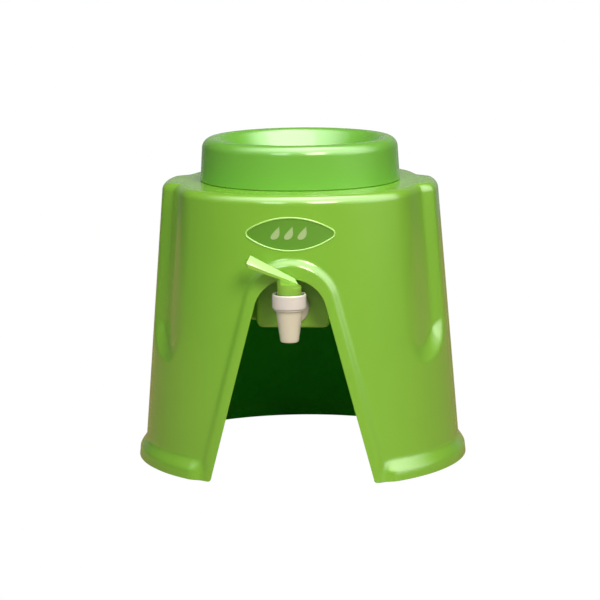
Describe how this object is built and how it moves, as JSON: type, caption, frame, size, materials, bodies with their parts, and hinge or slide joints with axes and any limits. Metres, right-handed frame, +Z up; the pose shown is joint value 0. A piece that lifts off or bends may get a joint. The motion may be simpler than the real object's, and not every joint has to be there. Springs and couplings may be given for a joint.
{
  "type": "bottle water dispenser stand",
  "caption": "Table-top stand that holds a large inverted water bottle, with a collar, an inner tank, an arch for a cup and a lever tap.",
  "frame": {"origin": "centre of the round base, on the surface that the stand rests on", "axes": "+Z up along the axis of the stand and its collar; -Y is the front, with the arch and the tap; +X is to the right seen from the front"},
  "size_m": [0.32, 0.3254, 0.3096],
  "materials": {
    "green_shell": "glossy moulded polypropylene",
    "green_collar": "glossy moulded polypropylene",
    "green_tank": "moulded polypropylene",
    "badge_green": "satin moulded plate",
    "green_lever": "glossy moulded acetal",
    "white_tap": "satin moulded polypropylene",
    "silicone": "translucent silicone",
    "steel": "plain stainless"
  },
  "bodies": {
    "stand": {"stand_shell": "green_shell", "badge_plate": "badge_green", "water_tank": "green_tank", "tank_screw_1": "steel", "tank_screw_2": "steel", "tank_screw_3": "steel", "tank_screw_4": "steel", "tap_body": "white_tap", "tap_ring": "white_tap", "shank_nut": "white_tap", "outer_gasket": "silicone", "inner_gasket": "silicone"},
    "collar": {"bottle_collar": "green_collar"},
    "bush": {"lever_bush": "white_tap", "lever_pin": "steel", "stem_spring": "steel"},
    "lever": {"tap_lever": "green_lever"},
    "stem": {"valve_stem": "white_tap", "valve_cup": "silicone"}
  },
  "joints": [
    {"name": "collar_lift", "type": "slide", "parent": "stand", "child": "collar", "axis": [0, 0, 1], "range_m": [0, 0.06]},
    {"name": "lever_swivel", "type": "hinge", "parent": "stand", "child": "bush", "pos_m": [0, -0.14966, 0.17], "axis": [0, 0, 1], "range_deg": [-3, 159]},
    {"name": "lever_press", "type": "hinge", "parent": "bush", "child": "lever", "pos_m": [-0.00489, -0.1507, 0.1814], "axis": [0.2079, -0.9781, 0], "range_deg": [0, 12], "stiffness_Nm_per_rad": 0.06, "springref_deg": -14.32},
    {"name": "stem_lift", "type": "slide", "parent": "bush", "child": "stem", "axis": [0, 0, 1], "range_m": [0, 0.00105], "deforming": ["stem_spring"]}
  ],
  "couplings": [
    {"joint": "stem_lift", "follows": "lever_press", "m_per_rad": 0.00496}
  ]
}
